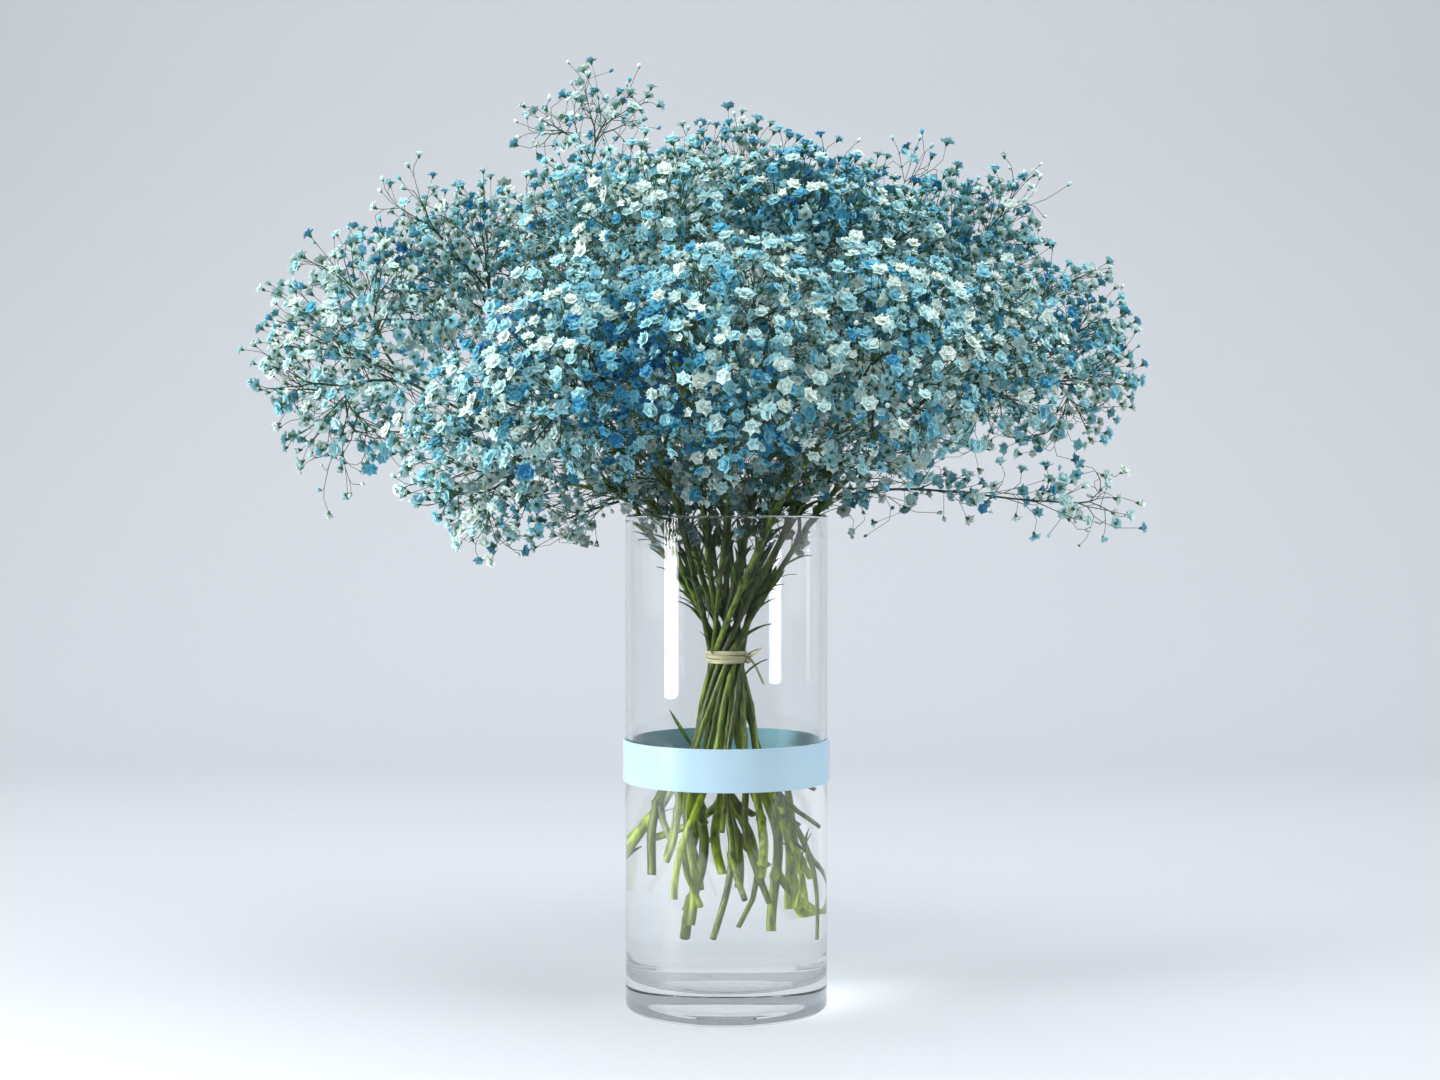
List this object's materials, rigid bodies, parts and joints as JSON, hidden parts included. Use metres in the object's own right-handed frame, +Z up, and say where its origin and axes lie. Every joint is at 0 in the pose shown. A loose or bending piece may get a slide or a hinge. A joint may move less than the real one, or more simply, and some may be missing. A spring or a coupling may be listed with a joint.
{
  "type": "gypsophila in a vase",
  "caption": "Tied bouquet of blue-dyed gypsophila in a tall clear glass cylinder vase with a light blue band, part filled with water.",
  "frame": {"origin": "centre of the vase's underside, on the surface it stands on", "axes": "+Z up along the vase's axis, out of its mouth; +X to the right and -Y towards the viewer in the front view"},
  "size_m": [0.5402, 0.4439, 0.581],
  "materials": {
    "glass": "polished",
    "water": "polished",
    "band": "satin",
    "raffia": "matte",
    "stem": "satin",
    "blossom": "matte"
  },
  "bodies": {
    "root": {"vase": "glass", "colour_band": "band", "water": "water", "tie": "raffia", "stem_01": "stem", "stem_02": "stem", "stem_03": "stem", "stem_04": "stem", "stem_05": "stem", "stem_06": "stem", "stem_07": "stem", "stem_08": "stem", "stem_09": "stem", "stem_10": "stem", "stem_11": "stem", "stem_12": "stem", "stem_13": "stem", "stem_14": "stem", "stem_15": "stem", "stem_16": "stem", "stem_17": "stem", "stem_18": "stem", "stem_19": "stem", "side_branch_1": "stem", "side_branch_2": "stem", "panicle_01": "blossom", "panicle_02": "blossom", "panicle_03": "blossom", "panicle_04": "blossom", "panicle_05": "blossom", "panicle_06": "blossom", "panicle_07": "blossom", "panicle_08": "blossom", "panicle_09": "blossom", "panicle_10": "blossom", "panicle_11": "blossom", "panicle_12": "blossom", "panicle_13": "blossom", "panicle_14": "blossom", "panicle_15": "blossom", "panicle_16": "blossom", "panicle_17": "blossom", "panicle_18": "blossom", "panicle_19": "blossom", "sprig_01": "blossom", "sprig_02": "blossom", "sprig_03": "blossom", "sprig_04": "blossom", "sprig_05": "blossom", "sprig_06": "blossom", "sprig_07": "blossom"}
  },
  "joints": []
}
